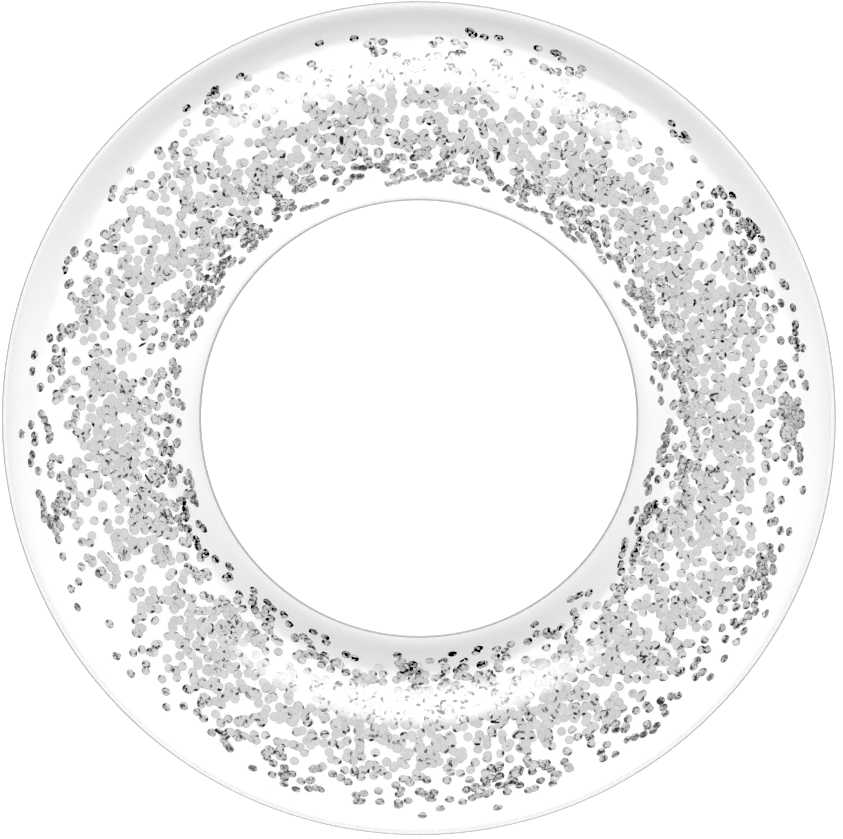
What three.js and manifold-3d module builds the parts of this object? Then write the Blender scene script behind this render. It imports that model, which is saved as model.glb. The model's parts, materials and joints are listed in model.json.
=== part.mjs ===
// A clear inflatable swim ring, lying flat and blown up. Two PVC film skins are welded together
// along their outer and inner rims. A push-in air valve sits on the outer underside, and loose
// foil confetti lies along the bottom of the tube. Millimetres, +Z up; the origin is on the
// surface that the ring lies on, in the middle of its hole.
import * as THREE from 'three';
import { mergeVertices } from 'three/addons/utils/BufferGeometryUtils.js';
import Module from 'manifold-3d';

// Driving dimensions: the flat film rings, as cut and welded before they are blown up.
const FLAT_OUTER_DIAMETER = 900;
const FLAT_INNER_DIAMETER = 320;
const FILM = 0.3;
const OUTER_FLANGE = 5;
const INNER_FLANGE = 3;
const SEAM_GAP = 0.3;

// The valve, in its own frame: +Z points out of the film, -X points up towards the outer weld.
const VALVE_BELOW_EQUATOR = 48;
const VALVE_HOLE_RADIUS = 9.2;
const BASE_RADIUS = 13;
const BASE_BORE_RADIUS = 8.6;
const BASE_LIFT = 0.3;
const BASE_THICKNESS = 0.8;
const STEM_RADIUS = 5.2;
const STEM_BORE_RADIUS = 4;
const STEM_ROOT = -8.6;
const STEM_RIM = 1.9;
const ROOT_FLANGE_RADIUS = 6.6;
const COLLAR_RADIUS = 5.9;
const COLLAR_HEIGHT = 0.8;
const COLLAR_CHAMFER = 0.2;
const BOOT_WALL = 0.5;
const BOOT_TOP = 0.6;
const BOOT_RISE = 0.2;
const BOOT_LIP_GAP = 0.3;
const BOOT_ROOT_GAP = 0.4;
const PLUG_GAP = 0.3;
const CAP_RADIUS = 6.2;
const CAP_THICKNESS = 1.2;
const CAP_TAB_REACH = 8.6;
const CAP_TAB_WIDTH = 4;
const BUNG_TOP_RADIUS = 3.65;
const BUNG_TIP_RADIUS = 2.55;
const BUNG_TIP = -3;
const STRAP_THICKNESS = 0.6;
const STRAP_WIDTH = 4;
const STRAP_HINGE_REACH = 8.8;
const STRAP_END_GAP = 0.3;
const STRAP_RISE = 0.1;
const FLAP_RADIUS = 4.6;
const FLAP_THICKNESS = 0.5;
const FLAP_GAP = 0.3;
const FLAP_HINGE_REACH = 5.2;
const FLAP_HINGE_WIDTH = 3;

// Foil confetti: a sample of the loose discs, spread along the bottom of the tube.
const CONFETTI_COUNT = 48;
const CONFETTI_RADIUS = 4.6;
const CONFETTI_THICKNESS = 0.2;
const CONFETTI_LIFT = 2.2;
const CONFETTI_SPREAD = 50;
const CONFETTI_VALVE_CLEARANCE = 26;
const CONFETTI_WALL_STRIDE = 7.3;

// How finely round things are cut into flat faces.
const RING_SEGMENTS = 72;
const SECTION_SEGMENTS = 11;
const VALVE_SEGMENTS = 24;
const CONFETTI_SEGMENTS = 12;
const ARC_STEPS = 10;

// A film tube lies flat at half its girth, so its width before it is blown up is pi times its radius.
const TUBE_RADIUS = (FLAT_OUTER_DIAMETER - FLAT_INNER_DIAMETER) / (2 * Math.PI);
const RING_RADIUS = (FLAT_OUTER_DIAMETER + FLAT_INNER_DIAMETER) / 4;
// The lowest face of the section is flat, so the weld is this high above the floor.
const WELD_HEIGHT = SEAM_GAP / 2 + TUBE_RADIUS * Math.cos(Math.PI / (2 * SECTION_SEGMENTS));

const degrees = THREE.MathUtils.degToRad;
const wasm = await Module();
wasm.setup();

const clearFilm = new THREE.MeshStandardMaterial({
  name: 'clear_film', color: 0xeef2f4, roughness: 0.08, metalness: 0, transparent: true, opacity: 0.25,
});
const clearMoulding = new THREE.MeshStandardMaterial({
  name: 'clear_moulding', color: 0xe6ecee, roughness: 0.2, metalness: 0, transparent: true, opacity: 0.5,
});
const silverFoil = new THREE.MeshStandardMaterial({
  name: 'silver_foil', color: 0xc9c9c9, roughness: 0.25, metalness: 1,
});

// Turns an outline of [radius, height] pairs about +Z. The outline runs anticlockwise with the
// radius to the right, and closes on itself unless it starts and ends on the axis.
function turned(outline, segments) {
  const points = outline.map(([radius, height]) => new THREE.Vector2(radius, height));
  const startsOnAxis = outline[0][0] === 0;
  if (!startsOnAxis) {
    points.push(points[0].clone());
  }
  const geometry = new THREE.LatheGeometry(points, segments);
  geometry.rotateX(Math.PI / 2);
  return geometry;
}

// A flat shape in the XY plane, made this thick upwards from the given height.
function plate(shape, bottom, thickness) {
  const geometry = new THREE.ExtrudeGeometry(shape, {
    depth: thickness, bevelEnabled: false, curveSegments: ARC_STEPS,
  });
  geometry.translate(0, 0, bottom);
  return geometry;
}

function toSolid(geometry) {
  const bare = geometry.clone();
  bare.deleteAttribute('normal');
  bare.deleteAttribute('uv');
  const merged = mergeVertices(bare);
  return new wasm.Manifold(new wasm.Mesh({
    numProp: 3,
    vertProperties: merged.getAttribute('position').array,
    triVerts: new Uint32Array(merged.getIndex().array),
  }));
}

function toGeometry(solid) {
  const mesh = solid.getMesh();
  const geometry = new THREE.BufferGeometry();
  geometry.setAttribute('position', new THREE.BufferAttribute(mesh.vertProperties, 3));
  geometry.setIndex(new THREE.BufferAttribute(mesh.triVerts, 1));
  geometry.computeVertexNormals();
  return geometry;
}

function named(name, geometry, material) {
  const mesh = new THREE.Mesh(geometry, material);
  mesh.name = name;
  return mesh;
}

// One film skin's section, above the weld: an arch with a thin flange at each foot.
function skinOutline() {
  const foot = SEAM_GAP / 2;
  const outside = [];
  const inside = [];
  for (let step = 0; step <= SECTION_SEGMENTS; step += 1) {
    const angle = Math.PI * step / SECTION_SEGMENTS;
    const rise = Math.sin(angle);
    const reach = Math.cos(angle);
    outside.push([
      RING_RADIUS + TUBE_RADIUS * reach,
      foot + Math.max(FILM, TUBE_RADIUS * rise),
    ]);
    inside.unshift([
      RING_RADIUS + (TUBE_RADIUS - FILM) * reach,
      foot + Math.max(0, (TUBE_RADIUS - FILM) * rise),
    ]);
  }
  const outerEdge = RING_RADIUS + TUBE_RADIUS + OUTER_FLANGE;
  const innerEdge = RING_RADIUS - TUBE_RADIUS - INNER_FLANGE;
  return [
    [outerEdge, foot],
    [outerEdge, foot + FILM],
    ...outside,
    [innerEdge, foot + FILM],
    [innerEdge, foot],
    ...inside,
  ];
}

function upperSkin() {
  const geometry = turned(skinOutline(), RING_SEGMENTS);
  geometry.translate(0, 0, WELD_HEIGHT);
  return named('upper_skin', geometry, clearFilm);
}

// The lower skin is the upper one turned over, with a round hole where the valve is welded in.
function lowerSkin(valveFrame) {
  const geometry = turned(skinOutline(), RING_SEGMENTS);
  geometry.rotateX(Math.PI);
  geometry.translate(0, 0, WELD_HEIGHT);
  const punch = new THREE.CylinderGeometry(
    VALVE_HOLE_RADIUS, VALVE_HOLE_RADIUS, 2 * BASE_RADIUS, VALVE_SEGMENTS,
  );
  punch.rotateX(Math.PI / 2);
  punch.applyMatrix4(valveFrame.matrixWorld);
  const pierced = toSolid(geometry).subtract(toSolid(punch));
  return named('lower_skin', toGeometry(pierced), clearFilm);
}

// Bends a flat moulding onto the film, which curves along the tube and round the ring.
function drapeOnFilm(geometry) {
  const acrossRadius = TUBE_RADIUS;
  const lean = Math.cos(degrees(VALVE_BELOW_EQUATOR));
  const alongRadius = (RING_RADIUS + TUBE_RADIUS * lean) / lean;
  const position = geometry.getAttribute('position');
  for (let index = 0; index < position.count; index += 1) {
    const x = position.getX(index);
    const y = position.getY(index);
    const drop = x * x / (2 * acrossRadius) + y * y / (2 * alongRadius);
    position.setZ(index, position.getZ(index) - drop);
  }
  return geometry;
}

// The disc that is welded to the film round the hole, thinner towards its rim.
function valveBase() {
  const low = BASE_LIFT;
  const high = BASE_LIFT + BASE_THICKNESS;
  const shoulder = (BASE_BORE_RADIUS + BASE_RADIUS) / 2;
  const geometry = turned([
    [BASE_BORE_RADIUS, low],
    [shoulder, low],
    [BASE_RADIUS, low],
    [BASE_RADIUS, low + BASE_THICKNESS / 2],
    [shoulder, high],
    [BASE_BORE_RADIUS, high],
  ], VALVE_SEGMENTS);
  return named('valve_base', drapeOnFilm(geometry), clearMoulding);
}

// The soft sleeve between the base and the root of the stem. It turns inside out as the stem moves.
function valveBoot() {
  const rootRadius = ROOT_FLANGE_RADIUS + BOOT_ROOT_GAP;
  const lipRadius = BASE_BORE_RADIUS - BOOT_LIP_GAP;
  const bottom = STEM_ROOT + BOOT_RISE;
  const geometry = turned([
    [rootRadius, bottom],
    [rootRadius + BOOT_WALL, bottom],
    [lipRadius, BOOT_TOP],
    [lipRadius - BOOT_WALL, BOOT_TOP],
  ], VALVE_SEGMENTS);
  return named('valve_boot', geometry, clearMoulding);
}

// The mouth tube, with a flange at its root and a collar round its rim.
function valveStem() {
  const flangeTop = STEM_ROOT + COLLAR_HEIGHT;
  const collarFoot = STEM_RIM - COLLAR_HEIGHT;
  const geometry = turned([
    [STEM_BORE_RADIUS, STEM_ROOT],
    [ROOT_FLANGE_RADIUS, STEM_ROOT],
    [ROOT_FLANGE_RADIUS, flangeTop],
    [STEM_RADIUS, flangeTop],
    [STEM_RADIUS, collarFoot],
    [COLLAR_RADIUS, collarFoot + COLLAR_CHAMFER],
    [COLLAR_RADIUS, STEM_RIM - COLLAR_CHAMFER],
    [COLLAR_RADIUS - COLLAR_CHAMFER, STEM_RIM],
    [STEM_BORE_RADIUS, STEM_RIM],
  ], VALVE_SEGMENTS);
  return named('valve_stem', geometry, clearMoulding);
}

// A round disc with a straight-sided tab that reaches out to the given distance along X.
function discWithTab(radius, reach, width) {
  const side = Math.sign(reach);
  const halfAngle = Math.asin(width / 2 / radius);
  const start = side > 0 ? halfAngle : Math.PI + halfAngle;
  const shape = new THREE.Shape();
  shape.absarc(0, 0, radius, start, start + 2 * (Math.PI - halfAngle), false);
  shape.lineTo(reach, -side * width / 2);
  shape.lineTo(reach, side * width / 2);
  shape.closePath();
  return shape;
}

// The stopper: a tapered bung under a round cap, with a tab to lift it by.
function valvePlug() {
  const capBottom = STEM_RIM + PLUG_GAP;
  const cap = plate(discWithTab(CAP_RADIUS, CAP_TAB_REACH, CAP_TAB_WIDTH), capBottom, CAP_THICKNESS);
  const bung = turned([
    [0, BUNG_TIP],
    [BUNG_TIP_RADIUS, BUNG_TIP],
    [BUNG_TOP_RADIUS, capBottom],
    [BUNG_TOP_RADIUS, capBottom + CAP_THICKNESS / 2],
    [0, capBottom + CAP_THICKNESS / 2],
  ], VALVE_SEGMENTS);
  return named('valve_plug', toGeometry(toSolid(cap).add(toSolid(bung))), clearMoulding);
}

// The band that ties the plug to the stem's collar, bent double like a hairpin.
function valveStrap() {
  const lowerLeg = STEM_RIM - STRAP_THICKNESS;
  const upperLeg = STEM_RIM + PLUG_GAP + (CAP_THICKNESS - STRAP_THICKNESS) / 2 + STRAP_RISE;
  const bendHeight = (lowerLeg + upperLeg + STRAP_THICKNESS) / 2;
  const outerBend = bendHeight - lowerLeg;
  const innerBend = outerBend - STRAP_THICKNESS;
  const lowerEnd = COLLAR_RADIUS + STRAP_END_GAP;
  const upperEnd = CAP_RADIUS + STRAP_END_GAP;
  const shape = new THREE.Shape();
  shape.moveTo(lowerEnd, lowerLeg);
  shape.absarc(STRAP_HINGE_REACH, bendHeight, outerBend, -Math.PI / 2, Math.PI / 2, false);
  shape.lineTo(upperEnd, upperLeg + STRAP_THICKNESS);
  shape.lineTo(upperEnd, upperLeg);
  shape.absarc(STRAP_HINGE_REACH, bendHeight, innerBend, Math.PI / 2, -Math.PI / 2, true);
  shape.lineTo(lowerEnd, lowerLeg + STRAP_THICKNESS);
  shape.closePath();
  const geometry = plate(shape, -STRAP_WIDTH / 2, STRAP_WIDTH);
  geometry.rotateX(Math.PI / 2);
  geometry.rotateZ(Math.PI);
  return named('valve_strap', geometry, clearMoulding);
}

// The check flap that air pressure holds against the root of the stem.
function valveFlap() {
  const shape = discWithTab(FLAP_RADIUS, -FLAP_HINGE_REACH, FLAP_HINGE_WIDTH);
  const geometry = plate(shape, STEM_ROOT - FLAP_GAP - FLAP_THICKNESS, FLAP_THICKNESS);
  return named('valve_flap', geometry, clearMoulding);
}

// The valve's frame: on the outer underside of the tube, on the +X side of the ring.
function valveSeat() {
  const below = degrees(VALVE_BELOW_EQUATOR);
  const seat = new THREE.Group();
  seat.position.set(
    RING_RADIUS + TUBE_RADIUS * Math.cos(below),
    0,
    WELD_HEIGHT - SEAM_GAP / 2 - TUBE_RADIUS * Math.sin(below),
  );
  seat.rotation.y = Math.PI / 2 + below;
  seat.updateMatrixWorld(true);
  return seat;
}

// One disc on the bottom of the tube: round the ring by one angle, up the tube's wall by another.
function confettiDisc(number, roundRing, upWall) {
  const geometry = new THREE.CylinderGeometry(
    CONFETTI_RADIUS, CONFETTI_RADIUS, CONFETTI_THICKNESS, CONFETTI_SEGMENTS,
  );
  geometry.rotateX(Math.PI / 2);
  const disc = named(`confetti_disc_${String(number).padStart(2, '0')}`, geometry, silverFoil);
  disc.position.z = CONFETTI_LIFT - TUBE_RADIUS;
  const section = new THREE.Group();
  section.position.set(RING_RADIUS, 0, WELD_HEIGHT - SEAM_GAP / 2);
  section.rotation.y = -upWall;
  section.add(disc);
  const spoke = new THREE.Group();
  spoke.rotation.z = roundRing;
  spoke.add(section);
  spoke.updateMatrixWorld(true);
  return { disc, spoke };
}

// Spreads the discs evenly by the golden ratio, and leaves room round the valve.
function addConfetti(group, valveFrame) {
  const golden = (Math.sqrt(5) - 1) / 2;
  const seat = new THREE.Vector3();
  let number = 1;
  for (let step = 1; number <= CONFETTI_COUNT; step += 1) {
    const roundRing = 2 * Math.PI * ((step * golden) % 1);
    const upWall = degrees(CONFETTI_SPREAD) * (2 * ((step * golden * CONFETTI_WALL_STRIDE) % 1) - 1);
    const { disc, spoke } = confettiDisc(number, roundRing, upWall);
    disc.getWorldPosition(seat);
    if (seat.distanceTo(valveFrame.position) > CONFETTI_VALVE_CLEARANCE) {
      group.add(spoke);
      number += 1;
    }
  }
}

const swimRing = new THREE.Group();
const valve = valveSeat();
valve.add(valveBase(), valveBoot(), valveStem(), valvePlug(), valveStrap(), valveFlap());
swimRing.add(upperSkin(), lowerSkin(valve), valve);
addConfetti(swimRing, valve);

export default swimRing;
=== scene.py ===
"""A clear inflatable swim ring with silver foil confetti in its tube, seen from straight above.

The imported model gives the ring's size and the places of the valve and of its own discs. Fine meshes
stand for its solids: two thin film skins with their weld, the six pieces of the push-in valve, and
thousands of loose foil discs. Everything is in metres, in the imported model's frame.
"""
import json
import math

import bmesh
import bpy
import numpy as np
from mathutils import Matrix, Vector


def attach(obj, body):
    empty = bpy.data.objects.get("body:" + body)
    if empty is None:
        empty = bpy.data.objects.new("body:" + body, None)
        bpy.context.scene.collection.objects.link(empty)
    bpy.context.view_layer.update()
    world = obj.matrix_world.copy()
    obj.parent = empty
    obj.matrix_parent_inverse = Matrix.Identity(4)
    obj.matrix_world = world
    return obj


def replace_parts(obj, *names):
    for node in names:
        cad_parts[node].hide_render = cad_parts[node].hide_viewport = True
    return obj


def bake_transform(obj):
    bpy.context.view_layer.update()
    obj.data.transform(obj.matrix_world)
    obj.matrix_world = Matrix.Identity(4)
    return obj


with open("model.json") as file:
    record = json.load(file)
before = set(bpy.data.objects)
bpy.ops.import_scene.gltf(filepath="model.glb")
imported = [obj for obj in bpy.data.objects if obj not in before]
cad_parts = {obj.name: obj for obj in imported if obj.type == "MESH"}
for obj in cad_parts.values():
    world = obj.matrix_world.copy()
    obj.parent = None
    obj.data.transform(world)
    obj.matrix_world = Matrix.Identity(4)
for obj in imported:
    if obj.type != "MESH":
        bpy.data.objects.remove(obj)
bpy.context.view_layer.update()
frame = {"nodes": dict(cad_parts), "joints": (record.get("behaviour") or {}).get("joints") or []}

MM = 0.001

# The film and its weld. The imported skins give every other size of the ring.
PVC_IOR = 1.53
FILM = 0.3 * MM
OUTER_FLANGE = 5.0 * MM
INNER_FLANGE = 3.0 * MM
CAD_SEAM_GAP = 0.3 * MM
SEAM_GAP = 0.02 * MM
OUTER_BEAD_WIDTH = 1.6 * MM
INNER_BEAD_WIDTH = 2.4 * MM
BEAD_HEIGHT = 0.5 * MM
WELD_STEP = 0.4 * MM
ARC_STEPS = 48
RING_STEPS = 288

# The corners, in degrees, up to which a surface is shaded as one smooth sheet.
SMOOTH_TURNED = 35.0
SMOOTH_MOULDING = 40.0
SMOOTH_STRAP = 50.0
SMOOTH_FOIL = 30.0

# The foil confetti. Wall angles and the usual tilt are in degrees, wall angles from the tube's bottom
# with outward plus. The other tilts and the fold are in radians.
DISC_RADIUS = 4.6 * MM
DISC_THICKNESS = 0.12 * MM
DISC_SIDES = 14
DISC_RINGS = (0.42, 0.82, 1.0)
DISC_COUNT = 4400
DISC_SECTORS = 12
DISC_MEAN_WALL_ANGLE = -3.0
DISC_WALL_SWAY = 6.0
DISC_WALL_SPREAD = 28.0
DISC_WALL_LIMIT = 56.0
DISC_WALL_BOTTOM = 30.0
DISC_SIDE_BIAS = 0.10
CLUMP_SIZE = 2.2
CLUMP_SPREAD = 11.0 * MM
SPARE_CLUMPS = 1.4
USUAL_TILT = 4.0
LEANING_SHARE = 0.12
LEANING_TILT = (0.15, 0.5)
STANDING_SHARE = 0.006
STANDING_TILT = (0.8, 1.3)
CLINGING_SHARE = 0.05
SEAT_GAP = 0.2 * MM
CLINGING_GAP = 0.35 * MM
PACKED_DISC_DROP = 0.8 * MM
CURL = (0.30 * MM, 0.9 * MM)
RIM_WAVE = (0.22 * MM, 0.6 * MM)
DENTED_SHARE = (0.05, 0.18)
DENTED_BETWEEN = (0.35, 0.75)
DENT_HEIGHT = (1.5 * MM, 2.3 * MM)
FOLDED_SHARE = 0.15
FOLD_ANGLE = (0.6, 1.4)
FOLD_PLACE = (0.45 * DISC_RADIUS, 0.75 * DISC_RADIUS)
PILE_HEIGHT = 0.9 * MM
FOIL_GAP = 0.06 * MM
VALVE_COVER_COUNT = 34
VALVE_COVER_ANGLE = 146.3
VALVE_COVER_ROUND = 9.0 * MM
VALVE_COVER_ACROSS = 7.0 * MM
VALVE_COVER_LAYER = 0.14 * MM
VALVE_KEEP_OUT = 15.0 * MM
VALVE_DEPTH = 20.0 * MM
SEED = 224

# The valve, in its own frame: +Z out of the film, -X up towards the outer weld.
VALVE_STEPS = 64
BASE_RADIUS = 13.0 * MM
BASE_BORE = 8.5 * MM
BASE_LIFT = 0.05 * MM
FILM_HOLE = 8.8 * MM
STEM_RADIUS = 5.2 * MM
STEM_BORE = 4.0 * MM
STEM_ROOT = -8.6 * MM
STEM_RIM = 1.9 * MM
ROOT_FLANGE = 6.6 * MM
COLLAR = 5.9 * MM
CAP_RADIUS = 6.2 * MM
CAP_BOTTOM = 2.2 * MM
CAP_THICKNESS = 1.2 * MM
HINGE_REACH = 8.8 * MM
FLAP_RADIUS = 4.6 * MM
FLAP_HINGE = 5.0 * MM

# The studio. A pair of levels runs from the lower or nearer end to the higher or farther one, and the
# lamp's angles are in degrees.
FLOOR_REACH = 60.0
FLOOR_GLOW = 1.08
FLOOR_SHADE = 0.24
LAMP_FROM_ZENITH = 39.0
LAMP_EDGE = 28.0
LAMP_CORE = 12.0
FILM_SIDES = (0.87, 0.50)
FILM_FAR_SIDE = 0.13
FILM_FAR_RISE = 0.65
FILM_NEAR_SIDE = 0.15
FILM_CEILING = 0.62
FOIL_SIDES = (1.6, 1.0)
FOIL_COVER = 1.18
FOIL_GAP_SCALE = 9.0

# The camera: a long lens far above the ring, framed a little wider than the ring. The ring's offset
# from the middle of the picture is a share of the picture's width.
CAMERA_HEIGHT = 5.0
SENSOR = 36.0
RING_SHARE_OF_WIDTH = 0.9899
OFF_CENTRE_X = -0.0032028
OFF_CENTRE_Y = 0.0016607
BLACK_POINT = 0.18

rng = np.random.default_rng(SEED)


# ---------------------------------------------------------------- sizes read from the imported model

def node_points(name):
    """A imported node's vertices, as an array."""
    mesh = frame["nodes"][name].data
    points = np.empty(len(mesh.vertices) * 3)
    mesh.vertices.foreach_get("co", points)
    return points.reshape(-1, 3)


skin_points = node_points("upper_skin")
skin_radii = np.hypot(skin_points[:, 0], skin_points[:, 1])
WELD_EDGE = skin_radii.max()
HOLE_EDGE = skin_radii.min()
TUBE_OUTSIDE = WELD_EDGE - OUTER_FLANGE
TUBE_INSIDE = HOLE_EDGE + INNER_FLANGE
RING_RADIUS = (TUBE_OUTSIDE + TUBE_INSIDE) / 2
TUBE_RADIUS = (TUBE_OUTSIDE - TUBE_INSIDE) / 2
WELD_HEIGHT = skin_points[:, 2].min() - CAD_SEAM_GAP / 2

joints = {joint["name"]: joint for joint in frame["joints"]}
pop_out = Vector(joints["stem_pop_out"]["axis"]).normalized()
VALVE_BELOW = math.asin(-pop_out.z)
valve_frame = Matrix.Translation((
    RING_RADIUS + TUBE_RADIUS * math.cos(VALVE_BELOW),
    0,
    WELD_HEIGHT - TUBE_RADIUS * math.sin(VALVE_BELOW),
)) @ Matrix.Rotation(math.pi / 2 + VALVE_BELOW, 4, "Y")


# ---------------------------------------------------------------- node helpers

def new_material(name):
    material = bpy.data.materials.new(name)
    material.use_nodes = True
    material.node_tree.nodes.clear()
    return material


def add(tree, kind, settings=None, **inputs):
    """A new shader node. Inputs are values or other nodes' outputs, by name or number."""
    node = tree.nodes.new(kind)
    for key, value in (settings or {}).items():
        setattr(node, key, value)
    for key, value in inputs.items():
        socket = node.inputs[int(key[1:])] if key[0] == "_" else node.inputs[key.replace("_", " ")]
        if isinstance(value, bpy.types.NodeSocket):
            tree.links.new(value, socket)
        else:
            socket.default_value = value
    return node


def math_node(tree, operation, first, second=0.0):
    return add(tree, "ShaderNodeMath", {"operation": operation}, _0=first, _1=second).outputs[0]


def finish_surface(tree, shader):
    add(tree, "ShaderNodeOutputMaterial", Surface=shader)


def object_noise(tree, scale, detail=2.0, roughness=0.5):
    place = add(tree, "ShaderNodeTexCoord").outputs["Object"]
    noise = add(tree, "ShaderNodeTexNoise", Vector=place, Scale=scale, Detail=detail, Roughness=roughness)
    return noise.outputs[0]


def bump(tree, height, distance, strength=1.0):
    return add(tree, "ShaderNodeBump", Height=height, Distance=distance, Strength=strength).outputs[0]


# ---------------------------------------------------------------- materials

def clear_sheet(name, layers, tint, height=None, depth=0.0):
    """Clear PVC. Light goes straight through, less what its reflecting faces turn away.

    layers multiplies what one bare face reflects. It is set to match the photo, and the tube's
    outside needs more than the film's own faces would give.
    """
    material = new_material(name)
    tree = material.node_tree
    normal = bump(tree, height(tree), depth) if height else None
    fresnel = add(tree, "ShaderNodeFresnel", IOR=PVC_IOR)
    gloss = add(tree, "ShaderNodeBsdfGlossy", Color=(1, 1, 1, 1), Roughness=0.0)
    if normal:
        tree.links.new(normal, fresnel.inputs["Normal"])
        tree.links.new(normal, gloss.inputs["Normal"])
    one_face = fresnel.outputs[0]
    many = math_node(tree, "MULTIPLY", one_face, layers)
    spread = math_node(tree, "MULTIPLY", one_face, layers - 1.0)
    together = math_node(tree, "DIVIDE", many, math_node(tree, "ADD", spread, 1.0))
    behind = add(tree, "ShaderNodeNewGeometry").outputs["Backfacing"]
    in_front = math_node(tree, "SUBTRACT", 1.0, behind)
    share = math_node(tree, "MULTIPLY", together, in_front)
    through = add(tree, "ShaderNodeBsdfTransparent", Color=(tint, tint, tint, 1))
    mixed = add(tree, "ShaderNodeMixShader", _0=share, _1=through.outputs[0], _2=gloss.outputs[0])
    finish_surface(tree, mixed.outputs[0])
    return material


def film_height(tree):
    """The faint orange peel of calendered film."""
    return object_noise(tree, 60.0, 1.0)


def weld_height(tree):
    """The fine pyramids that the welding tool presses into the flange."""
    place = add(tree, "ShaderNodeTexCoord").outputs["Object"]
    waves = [
        add(
            tree, "ShaderNodeTexWave",
            {"wave_type": "BANDS", "bands_direction": "DIAGONAL", "wave_profile": "SIN"},
            Vector=add(
                tree, "ShaderNodeMapping", {"vector_type": "TEXTURE"},
                Vector=place, Rotation=(0, 0, turn),
            ).outputs[0],
            Scale=400.0,
        ).outputs["Fac"]
        for turn in (0.0, math.pi / 2)
    ]
    return math_node(tree, "MULTIPLY", waves[0], waves[1])


def foil_material(name, dimmest, brightest):
    """Bright metallised film: each disc a shade of its own, with fine creases."""
    material = new_material(name)
    tree = material.node_tree
    own = add(tree, "ShaderNodeNewGeometry").outputs["Random Per Island"]
    tone = add(tree, "ShaderNodeValToRGB", Fac=own)
    tone.color_ramp.elements[0].color = (dimmest, dimmest, dimmest, 1)
    tone.color_ramp.elements[1].color = (brightest, brightest, brightest, 1)
    creases = object_noise(tree, 700.0, 3.0, 0.6)
    dull = add(
        tree, "ShaderNodeMapRange",
        Value=creases, From_Min=0.3, From_Max=0.7, To_Min=0.02, To_Max=0.04,
    )
    foil = add(
        tree, "ShaderNodeBsdfPrincipled", Base_Color=tone.outputs[0], Metallic=1.0,
        Roughness=dull.outputs[0], Normal=bump(tree, creases, 0.035 * MM),
    )
    finish_surface(tree, foil.outputs[0])
    return material


def moulding_material():
    """The valve's soft PVC: clear, a little milky where it is thick, with a glossy skin."""
    material = new_material("clear_moulding")
    tree = material.node_tree
    grain = object_noise(tree, 500.0, 2.0)
    milk = add(
        tree, "ShaderNodeBsdfPrincipled", Base_Color=(0.9, 0.9, 0.9, 1), Roughness=0.22, IOR=PVC_IOR,
        Normal=bump(tree, grain, 0.03 * MM),
    )
    through = add(tree, "ShaderNodeBsdfTransparent", Color=(0.98, 0.98, 0.98, 1))
    facing = add(tree, "ShaderNodeFresnel", IOR=PVC_IOR).outputs[0]
    cloud = add(tree, "ShaderNodeMapRange", Value=grain, To_Min=0.04, To_Max=0.08).outputs[0]
    share = add(
        tree, "ShaderNodeMath", {"operation": "ADD", "use_clamp": True}, _0=facing, _1=cloud,
    ).outputs[0]
    mixed = add(tree, "ShaderNodeMixShader", _0=share, _1=through.outputs[0], _2=milk.outputs[0])
    finish_surface(tree, mixed.outputs[0])
    return material


film_outside = clear_sheet(
    "clear_film_outside", layers=9.5, tint=0.995, height=film_height, depth=0.4 * MM,
)
film_inside = clear_sheet("clear_film_inside", layers=0.2, tint=0.995)
# The weld's grey see-through tints are painted shade: 0.94 greys the flange strip and 0.72 darkens the
# thin line at the bead. Their gloss is real reflection.
weld_flange_painted_grey = clear_sheet("weld_flange_painted_grey", layers=2.5, tint=0.94, height=weld_height, depth=0.15 * MM)
weld_bead_painted_shade = clear_sheet("weld_bead_painted_shade", layers=6.0, tint=0.72)
FILM_MATERIALS = (film_outside, film_inside, weld_flange_painted_grey, weld_bead_painted_shade)
silver_foil = foil_material("silver_foil", dimmest=0.62, brightest=0.70)
# The discs' outer rim band is a darker foil: painted shade for the dark outlines where overlapping discs
# meet.
foil_rim_painted_shade = foil_material("foil_rim_painted_shade", dimmest=0.57, brightest=0.65)
clear_moulding = moulding_material()


# ---------------------------------------------------------------- mesh helpers

def new_object(name, mesh, materials, smooth_angle):
    for material in materials:
        mesh.materials.append(material)
    mesh.polygons.foreach_set("use_smooth", np.ones(len(mesh.polygons), bool))
    mesh.set_sharp_from_angle(angle=math.radians(smooth_angle))
    made = bpy.data.objects.new(name, mesh)
    bpy.context.scene.collection.objects.link(made)
    return made


def revolve(name, section, steps, materials, zones=None, place=None, smooth_angle=SMOOTH_TURNED):
    """Turns a closed section of (radius, height) points about +Z.

    The section runs anticlockwise when its radius points right and its height up.
    """
    count = len(section)
    turn = 2 * math.pi * np.arange(steps) / steps
    section = np.array(section)
    points = np.empty((steps, count, 3))
    points[:, :, 0] = np.cos(turn)[:, None] * section[:, 0]
    points[:, :, 1] = np.sin(turn)[:, None] * section[:, 0]
    points[:, :, 2] = section[:, 1]
    here = np.arange(steps)[:, None] * count + np.arange(count)
    after = np.roll(here, -1, axis=0)
    faces = np.stack([here, after, np.roll(after, -1, axis=1), np.roll(here, -1, axis=1)], axis=-1)
    mesh = bpy.data.meshes.new(name)
    mesh.from_pydata(points.reshape(-1, 3), [], faces.reshape(-1, 4).tolist())
    if zones is not None:
        mesh.polygons.foreach_set("material_index", np.tile(zones, steps))
    if section[:, 0].min() < 1e-9:
        close_the_axis(mesh)
    if place is not None:
        mesh.transform(place)
    mesh.update()
    return new_object(name, mesh, materials, smooth_angle)


def close_the_axis(mesh):
    """Merges the points that a section leaves on the axis, and drops the faces between them."""
    work = bmesh.new()
    work.from_mesh(mesh)
    bmesh.ops.remove_doubles(work, verts=work.verts, dist=1e-7)
    work.to_mesh(mesh)
    work.free()


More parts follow.
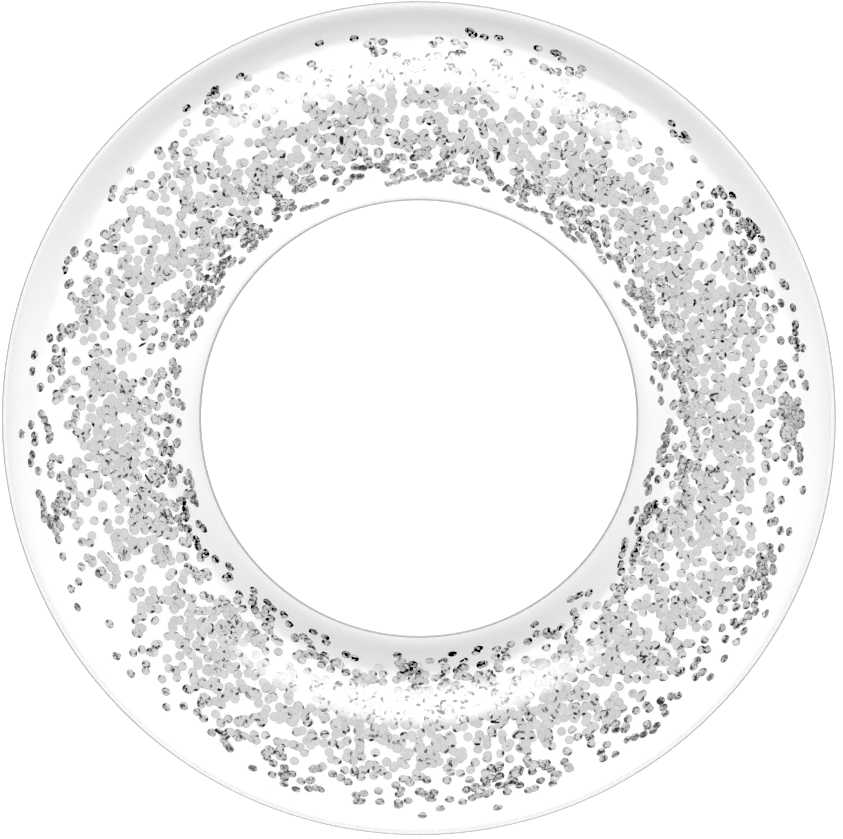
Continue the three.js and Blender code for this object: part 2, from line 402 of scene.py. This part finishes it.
def rounded(section, radius, steps=4):
    """A closed section with each corner rounded by up to this radius; points on the axis stay."""
    result = []
    count = len(section)
    for index, corner in enumerate(section):
        if corner[0] < 1e-9:
            result.append(corner)
            continue
        here = Vector(corner)
        back = Vector(section[index - 1]) - here
        ahead = Vector(section[(index + 1) % count]) - here
        reach = min(radius, back.length * 0.45, ahead.length * 0.45)
        start = here + back.normalized() * reach
        stop = here + ahead.normalized() * reach
        for step in range(steps + 1):
            t = step / steps
            point = start.lerp(here, t).lerp(here.lerp(stop, t), t)
            result.append((point.x, point.y))
    return result


def slab(name, outline, bottom, thickness, edge, materials, place):
    """A flat plate from an anticlockwise outline in XY, with its edges rounded."""
    work = bmesh.new()
    low = [work.verts.new((x, y, bottom)) for x, y in outline]
    high = [work.verts.new((x, y, bottom + thickness)) for x, y in outline]
    work.faces.new(list(reversed(low)))
    work.faces.new(high)
    count = len(outline)
    for index in range(count):
        after = (index + 1) % count
        work.faces.new([low[index], low[after], high[after], high[index]])
    rims = [e for e in work.edges if abs(e.verts[0].co.z - e.verts[1].co.z) < 1e-9]
    bmesh.ops.bevel(work, geom=rims, offset=edge, segments=3, profile=0.5, affect="EDGES")
    bmesh.ops.recalc_face_normals(work, faces=work.faces)
    mesh = bpy.data.meshes.new(name)
    work.to_mesh(mesh)
    work.free()
    mesh.transform(place)
    return new_object(name, mesh, materials, SMOOTH_MOULDING)


def disc_outline(radius, reach, width, steps=48):
    """A circle with a straight-sided tab that reaches out along X, its outer corners rounded."""
    side = math.copysign(1, reach)
    half = math.asin(width / 2 / radius)
    begin = half if side > 0 else math.pi + half
    angles = np.linspace(begin, begin + 2 * (math.pi - half), steps)
    points = [(radius * math.cos(angle), radius * math.sin(angle)) for angle in angles]
    corner = width * 0.3
    for quarter in (-1, 1):
        for step in range(5):
            swing = math.pi / 2 * (step / 4 if quarter > 0 else step / 4 - 1)
            centre_y = quarter * (width / 2 - corner)
            points.append((
                reach - side * corner + side * corner * math.cos(swing),
                side * centre_y + side * corner * math.sin(swing),
            ))
    return points


def combined(first, second, operation, smooth_angle):
    """first joined to second, or cut by it, as one closed body."""
    change = first.modifiers.new("change", "BOOLEAN")
    change.operation = operation
    change.solver = "EXACT"
    change.object = second
    graph = bpy.context.evaluated_depsgraph_get()
    mesh = bpy.data.meshes.new_from_object(first.evaluated_get(graph))
    first.modifiers.clear()
    old = first.data
    first.data = mesh
    mesh.name = first.name
    bpy.data.meshes.remove(old)
    bpy.data.objects.remove(second)
    mesh.set_sharp_from_angle(angle=math.radians(smooth_angle))
    return first


# ---------------------------------------------------------------- the film skins

OUTSIDE, INSIDE, FLANGE, BEAD = range(4)


def bead_points(edge, toward, width):
    """The rounded half bead at a flange's cut edge, from the seam plane over to the flange's top."""
    half = width / 2
    centre = edge - toward * half
    stop = math.pi - math.asin(FILM / BEAD_HEIGHT)
    return [
        (centre + toward * half * math.cos(angle), BEAD_HEIGHT * math.sin(angle))
        for angle in np.linspace(0, stop, 9)
    ]


def skin_section():
    """One skin above the seam, as points and, for the stretch after each point, its zone."""
    points = []
    zones = []

    def lay(stretch, zone):
        points.extend(stretch)
        zones.extend([zone] * len(stretch))

    arc = np.linspace(0, math.pi, ARC_STEPS + 1)
    lay(bead_points(WELD_EDGE, 1, OUTER_BEAD_WIDTH), BEAD)
    zones[-1] = FLANGE
    lay([(TUBE_OUTSIDE + WELD_STEP, FILM)], FLANGE)
    lay([
        (RING_RADIUS + TUBE_RADIUS * math.cos(angle), max(1.2 * FILM, TUBE_RADIUS * math.sin(angle)))
        for angle in arc
    ], OUTSIDE)
    lay([(TUBE_INSIDE - WELD_STEP, FILM)], FLANGE)
    lay(list(reversed(bead_points(HOLE_EDGE, -1, INNER_BEAD_WIDTH))), BEAD)
    zones[-1] = FLANGE
    inner = TUBE_RADIUS - FILM
    lay([
        (RING_RADIUS + inner * math.cos(angle), inner * max(0.0, math.sin(angle)))
        for angle in reversed(arc)
    ], INSIDE)
    zones[-1] = FLANGE
    return points, zones


def film_skin(name, side):
    """The upper skin for side 1, the lower for side -1, which flattens where it meets the floor."""
    points, zones = skin_section()
    lift = SEAM_GAP / 2
    placed = [(radius, WELD_HEIGHT + side * (lift + height)) for radius, height in points]
    if side < 0:
        floor_of = {OUTSIDE: 0.0, INSIDE: FILM, FLANGE: 0.0, BEAD: 0.0}
        placed = [
            (radius, max(height, floor_of[zone]))
            for (radius, height), zone in zip(placed, zones)
        ]
        placed = placed[::-1]
        zones = zones[::-1]
        zones = zones[1:] + zones[:1]
    skin = revolve(name, placed, RING_STEPS, FILM_MATERIALS, zones)
    skin.visible_glossy = False  # Left out of mirror images, which keeps each weld line single.
    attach(skin, "ring")
    return skin


def open_for_valve(skin):
    """Cuts the round hole that the valve's mouth stands in."""
    reach = 3.0 * MM
    section = [(0, -reach), (FILM_HOLE, -reach), (FILM_HOLE, reach), (0, reach)]
    cutter = revolve("hole_cutter", section, VALVE_STEPS, FILM_MATERIALS, place=valve_frame)
    return combined(skin, cutter, "DIFFERENCE", SMOOTH_TURNED)


upper_film = film_skin("upper_film", 1)
lower_film = open_for_valve(film_skin("lower_film", -1))
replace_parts(upper_film, "upper_skin")
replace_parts(lower_film, "lower_skin")


# ---------------------------------------------------------------- the valve

def valve_piece(piece, node, body=None):
    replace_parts(piece, node)
    if body:
        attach(piece, body)
    return piece


def draped_on_film(section):
    """Turns a section into the base disc and bends it to the film's two curvatures."""
    base = revolve("valve_base_disc", section, VALVE_STEPS, [clear_moulding])
    lean = math.cos(VALVE_BELOW)
    along = (RING_RADIUS + TUBE_RADIUS * lean) / lean
    for vertex in base.data.vertices:
        x, y, z = vertex.co
        vertex.co.z = z - x * x / (2 * TUBE_RADIUS) - y * y / (2 * along)
    base.data.transform(valve_frame)
    return base


def make_base():
    """The welded disc: a ribbed weld zone round a raised lip."""
    low = BASE_LIFT
    section = [
        (BASE_BORE, low),
        (BASE_RADIUS, low),
        (BASE_RADIUS, low + 0.4 * MM),
        (12.4 * MM, low + 0.55 * MM),
        (12.0 * MM, low + 0.45 * MM),
        (11.6 * MM, low + 0.6 * MM),
        (11.2 * MM, low + 0.5 * MM),
        (10.8 * MM, low + 0.65 * MM),
        (10.0 * MM, low + 0.7 * MM),
        (9.5 * MM, low + 1.0 * MM),
        (BASE_BORE, low + 1.05 * MM),
    ]
    return valve_piece(draped_on_film(rounded(section, 0.15 * MM)), "valve_base", "ring")


def make_stem():
    """The mouth tube, its root flange and its collar."""
    section = [
        (STEM_BORE, STEM_ROOT),
        (ROOT_FLANGE, STEM_ROOT),
        (ROOT_FLANGE, STEM_ROOT + 0.8 * MM),
        (STEM_RADIUS + 0.3 * MM, STEM_ROOT + 0.9 * MM),
        (STEM_RADIUS, STEM_ROOT + 1.4 * MM),
        (STEM_RADIUS, STEM_RIM - 1.0 * MM),
        (COLLAR, STEM_RIM - 0.7 * MM),
        (COLLAR, STEM_RIM),
        (STEM_BORE, STEM_RIM),
    ]
    stem = revolve(
        "valve_mouth_tube", rounded(section, 0.25 * MM), VALVE_STEPS, [clear_moulding], place=valve_frame,
    )
    return valve_piece(stem, "valve_stem", "stem")


def make_boot():
    """The soft sleeve, in one fixed shape, though the real one turns inside out as the stem pops out."""
    top = 0.6 * MM
    bottom = STEM_ROOT + 0.2 * MM
    lip = 8.3 * MM
    root = 7.1 * MM
    wall = 0.5 * MM
    rows = 12
    outer = []
    inner = []
    for row in range(rows + 1):
        t = row / rows
        radius = root + (lip - root) * t
        height = bottom + (top - bottom) * t
        outer.append((radius, height))
        inner.append((radius - wall, height))
    boot = revolve(
        "valve_fold_sleeve", outer + inner[::-1], VALVE_STEPS, [clear_moulding], place=valve_frame,
    )
    valve_piece(boot, "valve_boot")
    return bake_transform(boot)


def make_plug():
    """The cap with its lifting tab, and the tapered bung below it, as one moulding."""
    outline = disc_outline(CAP_RADIUS, 8.6 * MM, 4 * MM)
    cap = slab(
        "valve_stopper", outline, CAP_BOTTOM, CAP_THICKNESS, 0.3 * MM, [clear_moulding], valve_frame,
    )
    section = [
        (0, -3.0 * MM),
        (2.55 * MM, -3.0 * MM),
        (3.0 * MM, -0.9 * MM),
        (3.0 * MM, -0.5 * MM),
        (3.6 * MM, CAP_BOTTOM - 0.3 * MM),
        (3.65 * MM, CAP_BOTTOM + 0.6 * MM),
        (0, CAP_BOTTOM + 0.6 * MM),
    ]
    bung = revolve(
        "bung", rounded(section, 0.25 * MM), VALVE_STEPS, [clear_moulding], place=valve_frame,
    )
    return valve_piece(combined(cap, bung, "UNION", SMOOTH_MOULDING), "valve_plug", "plug")


def make_strap():
    """The hairpin band from the collar to the cap, in one fixed shape, though the real one unfolds as the
    plug opens.
    """
    lower = STEM_RIM - 0.6 * MM
    upper = 2.6 * MM
    thickness = 0.6 * MM
    middle = (lower + upper + thickness) / 2
    bend = middle - lower - thickness / 2
    width = 4.0 * MM
    path = [(5.6 * MM + 0.4 * MM * step, lower + thickness / 2) for step in range(8)]
    path += [
        (HINGE_REACH + bend * math.sin(angle), middle - bend * math.cos(angle))
        for angle in np.linspace(0, math.pi, 17)
    ]
    path += [(HINGE_REACH - 0.4 * MM * step, upper + thickness / 2) for step in range(1, 8)]
    strap = ribbon("valve_tether", path, thickness, width)
    valve_piece(strap, "valve_strap")
    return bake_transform(strap)


def ribbon(name, path, thickness, width):
    """A flat band of rounded section along a path of (outward, height) points."""
    round_section = []
    corner = thickness * 0.35
    for sx, sy, begin in ((1, 1, 0), (-1, 1, 1), (-1, -1, 2), (1, -1, 3)):
        for step in range(4):
            angle = math.pi / 2 * (begin + step / 3)
            round_section.append((
                sx * (width / 2 - corner) + corner * math.cos(angle),
                sy * (thickness / 2 - corner) + corner * math.sin(angle),
            ))
    points = []
    for index, (out, height) in enumerate(path):
        before = Vector(path[max(0, index - 1)])
        after = Vector(path[min(len(path) - 1, index + 1)])
        along = (after - before).normalized()
        for across, up in round_section:
            points.append((-(out - along.y * up), across, height + along.x * up))
    count = len(round_section)
    faces = [list(range(count)), list(range(len(points) - 1, len(points) - count - 1, -1))]
    for row in range(len(path) - 1):
        for step in range(count):
            after = (step + 1) % count
            first = row * count
            second = first + count
            faces.append([first + after, first + step, second + step, second + after])
    mesh = bpy.data.meshes.new(name)
    mesh.from_pydata(points, [], faces)
    work = bmesh.new()
    work.from_mesh(mesh)
    bmesh.ops.recalc_face_normals(work, faces=work.faces)
    work.to_mesh(mesh)
    work.free()
    mesh.transform(valve_frame)
    return new_object(name, mesh, [clear_moulding], SMOOTH_STRAP)


def make_flap():
    """The check flap under the stem's root."""
    outline = disc_outline(FLAP_RADIUS, -FLAP_HINGE, 3 * MM)
    flap = slab(
        "valve_check_flap", outline, STEM_ROOT - 0.85 * MM, 0.5 * MM, 0.12 * MM,
        [clear_moulding], valve_frame,
    )
    return valve_piece(flap, "valve_flap", "flap")


make_base()
make_stem()
make_boot()
make_plug()
make_strap()
make_flap()


# ---------------------------------------------------------------- the foil confetti

def disc_template():
    """A unit disc: plan points, which of them are on top, its triangles, and which of those are rim."""
    turn = 2 * math.pi * np.arange(DISC_SIDES) / DISC_SIDES
    circle = np.stack([np.cos(turn), np.sin(turn)], axis=1)
    face = np.concatenate([np.zeros((1, 2))] + [circle * share for share in DISC_RINGS])
    per_face = len(face)
    triangles = []
    on_rim = []

    def lay(corners, rim):
        triangles.append(corners)
        on_rim.append(rim)

    def lay_both_sides(a, b, c, rim):
        lay((a, b, c), rim)
        lay((c + per_face, b + per_face, a + per_face), rim)

    for side in range(DISC_SIDES):
        after = (side + 1) % DISC_SIDES
        lay_both_sides(0, 1 + side, 1 + after, 0)
        for ring in range(len(DISC_RINGS) - 1):
            inner = 1 + ring * DISC_SIDES
            outer = inner + DISC_SIDES
            rim = int(ring == len(DISC_RINGS) - 2)
            lay_both_sides(inner + side, outer + side, outer + after, rim)
            lay_both_sides(inner + side, outer + after, inner + after, rim)
        edge = per_face - DISC_SIDES
        lay((edge + side, edge + side + per_face, edge + after + per_face), 1)
        lay((edge + side, edge + after + per_face, edge + after), 1)
    plan = np.concatenate([face, face])
    top = np.repeat([1.0, 0.0], per_face)
    return plan, top, np.array(triangles), np.array(on_rim)


PLAN, TOP, TRIANGLES, ON_RIM = disc_template()


def spread_both_ways(count, usual, most):
    """Random lengths round zero, usually about this large and never beyond the most."""
    return np.clip(rng.normal(0, usual, count), -most, most)


def dents(count, dented_share):
    """Heights of the neighbouring points that are pushed up in pairs, a little in from the rim."""
    spot = np.isclose(np.hypot(PLAN[:, 0], PLAN[:, 1]), DISC_RINGS[1])
    chosen = rng.random((count, DISC_SIDES)) < dented_share[:, None]
    height = rng.uniform(*DENT_HEIGHT, (count, DISC_SIDES)) * (chosen | np.roll(chosen, 1, axis=1))
    raised = np.zeros((count, len(PLAN)))
    raised[:, spot] = np.concatenate([height, height], axis=1)
    return raised


def curled(count, dented_share):
    """Local points of discs: a little curled, with a wavy rim and dents, and some folded near one edge."""
    points = np.empty((count, len(PLAN), 3))
    plan = PLAN * DISC_RADIUS
    roll = rng.uniform(0, math.pi, count)
    across = PLAN[None, :, 0] * np.cos(roll)[:, None] + PLAN[None, :, 1] * np.sin(roll)[:, None]
    curl = spread_both_ways(count, *CURL)
    points[:, :, :2] = plan
    points[:, :, 2] = curl[:, None] * across ** 2 + TOP * DISC_THICKNESS
    around = np.arctan2(PLAN[:, 1], PLAN[:, 0])
    toward_rim = np.hypot(PLAN[:, 0], PLAN[:, 1]) ** 4
    for waves in (2, 3):
        height = spread_both_ways(count, *RIM_WAVE)
        phase = rng.uniform(0, 2 * math.pi, count)
        wave = np.cos(waves * around[None, :] + phase[:, None])
        points[:, :, 2] += height[:, None] * wave * toward_rim
    points[:, :, 2] += dents(count, dented_share)
    is_folded = rng.random(count) < FOLDED_SHARE
    fold = np.where(is_folded, rng.uniform(*FOLD_ANGLE, count) * rng.choice([-1, 1], count), 0.0)
    toward = rng.uniform(0, 2 * math.pi, count)
    heading = np.stack([np.cos(toward), np.sin(toward)], axis=1)
    crease = rng.uniform(*FOLD_PLACE, count)
    distance = np.einsum("nk,ck->cn", plan, heading) - crease[:, None]
    beyond = np.maximum(distance, 0.0)
    points[:, :, :2] -= (beyond * (1 - np.cos(fold))[:, None])[:, :, None] * heading[:, None, :]
    points[:, :, 2] += beyond * np.sin(fold)[:, None]
    return points


def turned_normals(normals, tilts):
    """Each normal, leaned by its tilt in a random direction."""
    count = len(normals)
    aside = np.cross(normals, rng.normal(size=(count, 3)))
    aside /= np.linalg.norm(aside, axis=1)[:, None]
    return normals * np.cos(tilts)[:, None] + aside * np.sin(tilts)[:, None]


def disc_points(seats, normals):
    """Every disc's points: centre at its seat, face square to its normal, pressed inside the film."""
    spin = rng.normal(size=normals.shape)
    first = np.cross(normals, spin)
    first /= np.linalg.norm(first, axis=1)[:, None]
    second = np.cross(normals, first)
    off_middle = np.abs(np.hypot(seats[:, 0], seats[:, 1]) - RING_RADIUS) / TUBE_RADIUS
    dented_share = np.interp(off_middle, DENTED_BETWEEN, DENTED_SHARE)
    local = curled(len(seats), dented_share)
    return inside_the_tube(
        seats[:, None, :]
        + local[:, :, 0:1] * first[:, None, :]
        + local[:, :, 1:2] * second[:, None, :]
        + local[:, :, 2:3] * normals[:, None, :]
    )


def inside_the_tube(points):
    """Moves points that lie beyond the film back onto its inner face."""
    room = TUBE_RADIUS - FILM - FOIL_GAP
    reach = np.hypot(points[..., 0], points[..., 1])
    out = reach - RING_RADIUS
    up = points[..., 2] - WELD_HEIGHT
    shrink = np.minimum(1.0, room / np.maximum(np.hypot(out, up), 1e-9))
    placed = np.empty_like(points)
    placed[..., :2] = points[..., :2] * ((RING_RADIUS + out * shrink) / reach)[..., None]
    placed[..., 2] = np.maximum(WELD_HEIGHT + up * shrink, FILM + FOIL_GAP)
    return placed


def wall_seats(round_ring, wall_angle, lift):
    """Seats and inward normals on the tube's inner wall, wall_angle from its bottom, outward plus."""
    inner = TUBE_RADIUS - FILM
    out = np.sin(wall_angle)
    up = -np.cos(wall_angle)
    radius = RING_RADIUS + (inner - lift) * out
    height = np.maximum(WELD_HEIGHT + (inner - lift) * up, FILM + lift)
    seats = np.stack([radius * np.cos(round_ring), radius * np.sin(round_ring), height], axis=1)
    normals = np.stack([-out * np.cos(round_ring), -out * np.sin(round_ring), -up], axis=1)
    return seats, normals


def clear_of_valve(seats):
    """Which seats keep out of the space that the folded valve and its flap use."""
    origin = np.array(valve_frame.translation)
    axis = np.array(pop_out)
    along = (seats - origin) @ axis
    aside = np.linalg.norm(seats - origin - along[:, None] * axis, axis=1)
    return (aside > VALVE_KEEP_OUT) | (along < -VALVE_DEPTH)


def scattered_discs():
    """Clumps of discs along the bottom of the tube, thicker towards its middle, and a few on its roof."""
    clumps = int(DISC_COUNT / CLUMP_SIZE * SPARE_CLUMPS)
    centre_turn = rng.uniform(0, 2 * math.pi, clumps)
    centre_turn -= DISC_SIDE_BIAS * np.sin(centre_turn)
    mean_wall = DISC_MEAN_WALL_ANGLE - DISC_WALL_SWAY * np.sin(centre_turn)
    centre_wall = mean_wall + rng.normal(0, DISC_WALL_SPREAD, clumps)
    sizes = 1 + rng.poisson(CLUMP_SIZE - 1, clumps)
    member = np.repeat(np.arange(clumps), sizes)
    stray = rng.normal(0, CLUMP_SPREAD, (len(member), 2))
    round_ring = centre_turn[member] + stray[:, 0] / RING_RADIUS
    wall_angle = np.radians(centre_wall[member]) + stray[:, 1] / TUBE_RADIUS
    kept = np.abs(wall_angle) < math.radians(DISC_WALL_LIMIT)
    round_ring = round_ring[kept][:DISC_COUNT]
    wall_angle = wall_angle[kept][:DISC_COUNT]
    count = len(round_ring)
    lying = np.exp(-(wall_angle / math.radians(DISC_WALL_BOTTOM)) ** 2)
    tilts = np.abs(rng.normal(0, math.radians(USUAL_TILT), count)) * (0.4 + lying)
    leaning = rng.random(count) < LEANING_SHARE * lying
    tilts = np.where(leaning, rng.uniform(*LEANING_TILT, count), tilts)
    standing = rng.random(count) < STANDING_SHARE
    tilts = np.where(standing, rng.uniform(*STANDING_TILT, count), tilts)
    layer = rng.exponential(PILE_HEIGHT, count) * lying
    lift = SEAT_GAP + DISC_RADIUS * np.sin(tilts) + layer
    clinging = rng.random(count) < CLINGING_SHARE
    wall_angle = np.where(clinging, math.pi - wall_angle, wall_angle)
    lift = np.where(clinging, CLINGING_GAP, lift)
    tilts = np.where(clinging, 0.0, tilts)
    seats, normals = wall_seats(round_ring, wall_angle, lift)
    kept = clear_of_valve(seats)
    return seats[kept], turned_normals(normals, tilts)[kept]


def cover_over_valve():
    """A clump that clings to the upper skin right above the valve."""
    count = VALVE_COVER_COUNT
    round_ring = rng.normal(0, VALVE_COVER_ROUND, count) / RING_RADIUS
    above = math.radians(VALVE_COVER_ANGLE) + rng.normal(0, VALVE_COVER_ACROSS, count) / TUBE_RADIUS
    lift = CLINGING_GAP + VALVE_COVER_LAYER * np.arange(count)
    return wall_seats(round_ring, above, lift)


def foil_object(name, points):
    """One mesh from the points of many discs."""
    count = len(points)
    per_disc = len(PLAN)
    mesh = bpy.data.meshes.new(name)
    mesh.vertices.add(count * per_disc)
    mesh.vertices.foreach_set("co", points.ravel())
    corners = (TRIANGLES[None] + per_disc * np.arange(count)[:, None, None]).ravel()
    mesh.loops.add(len(corners))
    mesh.loops.foreach_set("vertex_index", corners)
    mesh.polygons.add(len(corners) // 3)
    mesh.polygons.foreach_set("loop_start", np.arange(0, len(corners), 3))
    # Rim triangles take the darker foil, a painted shade round each disc's edge.
    mesh.polygons.foreach_set("material_index", np.tile(ON_RIM, count))
    mesh.update(calc_edges=True)
    piece = new_object(name, mesh, [silver_foil, foil_rim_painted_shade], SMOOTH_FOIL)
    piece.visible_glossy = False  # Left out of mirror images, which keeps clumps from outlining dark.
    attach(piece, "ring")
    return piece


def packed_discs():
    """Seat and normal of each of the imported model's own discs, by name."""
    for name in sorted(frame["nodes"]):
        if name.startswith("confetti_disc"):
            points = node_points(name)
            seat = points.mean(axis=0)
            normal = np.linalg.svd(points - seat)[2][2]
            yield name, seat, normal * math.copysign(1, normal[2])


for name, seat, normal in packed_discs():
    points = disc_points(seat[None] - normal * PACKED_DISC_DROP, normal[None])
    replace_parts(foil_object(name.replace("confetti", "foil"), points), name)

loose_seats, loose_normals = scattered_discs()
cover_seats, cover_normals = cover_over_valve()
all_points = disc_points(
    np.concatenate([loose_seats, cover_seats]),
    np.concatenate([loose_normals, cover_normals]),
)
middles = all_points.mean(axis=1)
sector_of = (
    (np.arctan2(middles[:, 1], middles[:, 0]) + math.pi) / (2 * math.pi) * DISC_SECTORS
).astype(int) % DISC_SECTORS
for sector in range(DISC_SECTORS):
    foil_object(f"foil_confetti_{sector + 1:02d}", all_points[sector_of == sector])


# ---------------------------------------------------------------- floor, sky, camera and contrast

def make_floor():
    """A white floor that glows a little, so that only a faint shadow shows on it."""
    material = new_material("white_floor")
    tree = material.node_tree
    matt = add(tree, "ShaderNodeBsdfDiffuse", Color=(FLOOR_SHADE, FLOOR_SHADE, FLOOR_SHADE, 1))
    glow = add(tree, "ShaderNodeEmission", Color=(1, 1, 1, 1), Strength=FLOOR_GLOW)
    both = add(tree, "ShaderNodeAddShader", _0=matt.outputs[0], _1=glow.outputs[0])
    finish_surface(tree, both.outputs[0])
    mesh = bpy.data.meshes.new("floor")
    corners = [(-FLOOR_REACH, -FLOOR_REACH), (FLOOR_REACH, -FLOOR_REACH)]
    corners += [(FLOOR_REACH, FLOOR_REACH), (-FLOOR_REACH, FLOOR_REACH)]
    mesh.from_pydata([(x, y, -0.3 * MM) for x, y in corners], [], [(0, 1, 2, 3)])
    mesh.materials.append(material)
    floor = bpy.data.objects.new("floor", mesh)
    bpy.context.scene.collection.objects.link(floor)
    floor.visible_glossy = False


def ranged(tree, value, low, high, at_low, at_high, smooth=False):
    """value from low to high, mapped from at_low to at_high and held beyond them."""
    settings = {"interpolation_type": "SMOOTHSTEP"} if smooth else {}
    return add(
        tree, "ShaderNodeMapRange", settings,
        Value=value, From_Min=low, From_Max=high, To_Min=at_low, To_Max=at_high,
    ).outputs[0]


def blended(tree, share, first, second):
    return add(tree, "ShaderNodeMix", _0=share, _2=first, _3=second).outputs[0]


def sky_for_film(tree, direction, y, z):
    """What the film mirrors: a dim ceiling, lighter sides, a dark far side and a soft lamp high up."""
    side = ranged(tree, z, -1.0, 0.0, *FILM_SIDES)
    z_squared = math_node(tree, "MULTIPLY", z, z)
    rising = math_node(tree, "MULTIPLY", z_squared, FILM_FAR_RISE)
    far = math_node(tree, "ADD", rising, FILM_FAR_SIDE)
    around = blended(tree, ranged(tree, y, 0.15, 0.85, 0.0, 1.0), side, far)
    near = ranged(tree, y, -0.4, 0.0, FILM_NEAR_SIDE, 0.0)
    lower = math_node(tree, "ADD", around, near)
    overhead = ranged(tree, z, 0.02, 0.30, 0.0, 1.0, smooth=True)
    ceiling = blended(tree, overhead, lower, FILM_CEILING)
    from_zenith = math.radians(LAMP_FROM_ZENITH)
    lamp_place = (0, math.sin(from_zenith), math.cos(from_zenith))
    nearness = add(
        tree, "ShaderNodeVectorMath", {"operation": "DOT_PRODUCT"}, _0=direction, _1=lamp_place,
    ).outputs["Value"]
    edge, core = (math.cos(math.radians(angle)) for angle in (LAMP_EDGE, LAMP_CORE))
    lamp = ranged(tree, nearness, edge, core, 0.0, 1.0, smooth=True)
    return math_node(tree, "ADD", ceiling, lamp)


def sky_for_foil(tree, direction, y, z):
    """What the foil reflects: an even cover, lit sides, a dark floor, and gaps that thin out upwards."""
    cover = ranged(tree, z, 0.15, 0.42, 0.0, 1.0, smooth=True)
    level = blended(tree, cover, ranged(tree, y, -1.0, 0.0, *FOIL_SIDES), FOIL_COVER)
    noise = add(
        tree, "ShaderNodeTexNoise", Vector=direction, Scale=FOIL_GAP_SCALE, Detail=0.0,
    ).outputs[0]
    fewer_high = math_node(tree, "ADD", noise, ranged(tree, z, 0.2, 0.85, 0.0, 0.28))
    closed = math_node(tree, "ADD", fewer_high, ranged(tree, y, -1.0, -0.4, 0.10, 0.0))
    gaps = ranged(tree, closed, 0.46, 0.465, 0.0, 1.0)
    above_floor = ranged(tree, z, -0.38, -0.24, 0.0, 1.0)
    return math_node(tree, "MULTIPLY", level, math_node(tree, "MULTIPLY", gaps, above_floor))


def make_sky():
    """White all round, but mirror-sharp gloss and satin gloss each see a studio of their own."""
    world = bpy.data.worlds.new("studio")
    bpy.context.scene.world = world
    world.use_nodes = True
    world.cycles.sampling_method = "NONE"
    tree = world.node_tree
    tree.nodes.clear()
    direction = add(tree, "ShaderNodeTexCoord").outputs["Generated"]
    parts = add(tree, "ShaderNodeSeparateXYZ", Vector=direction)
    y, z = parts.outputs["Y"], parts.outputs["Z"]
    path = add(tree, "ShaderNodeLightPath").outputs
    gloss = blended(
        tree, path["Is Singular Ray"],
        sky_for_foil(tree, direction, y, z), sky_for_film(tree, direction, y, z),
    )
    seen = blended(tree, path["Is Glossy Ray"], 1.0, gloss)
    sky = add(tree, "ShaderNodeBackground", Color=seen, Strength=1.0)
    add(tree, "ShaderNodeOutputWorld", Surface=sky.outputs[0])


def make_camera():
    """Straight above the ring, with the top of the picture towards +Y."""
    data = bpy.data.cameras.new("camera")
    width_in_view = 2 * WELD_EDGE / RING_SHARE_OF_WIDTH
    data.sensor_width = SENSOR
    data.lens = SENSOR * CAMERA_HEIGHT / width_in_view
    data.clip_start = 0.1
    data.clip_end = 200.0
    camera = bpy.data.objects.new("camera", data)
    camera.location = (
        -OFF_CENTRE_X * width_in_view,
        -OFF_CENTRE_Y * width_in_view,
        WELD_HEIGHT + CAMERA_HEIGHT,
    )
    bpy.context.scene.collection.objects.link(camera)
    bpy.context.scene.camera = camera


def set_contrast():
    """The plain view, with its black point raised a little, as in a product photograph."""
    view = bpy.context.scene.view_settings
    view.view_transform = "Standard"
    view.use_curve_mapping = True
    view.curve_mapping.black_level = (BLACK_POINT, BLACK_POINT, BLACK_POINT)
    view.curve_mapping.update()


make_floor()
make_sky()
make_camera()
set_contrast()
bpy.context.scene.cycles.transparent_max_bounces = 64
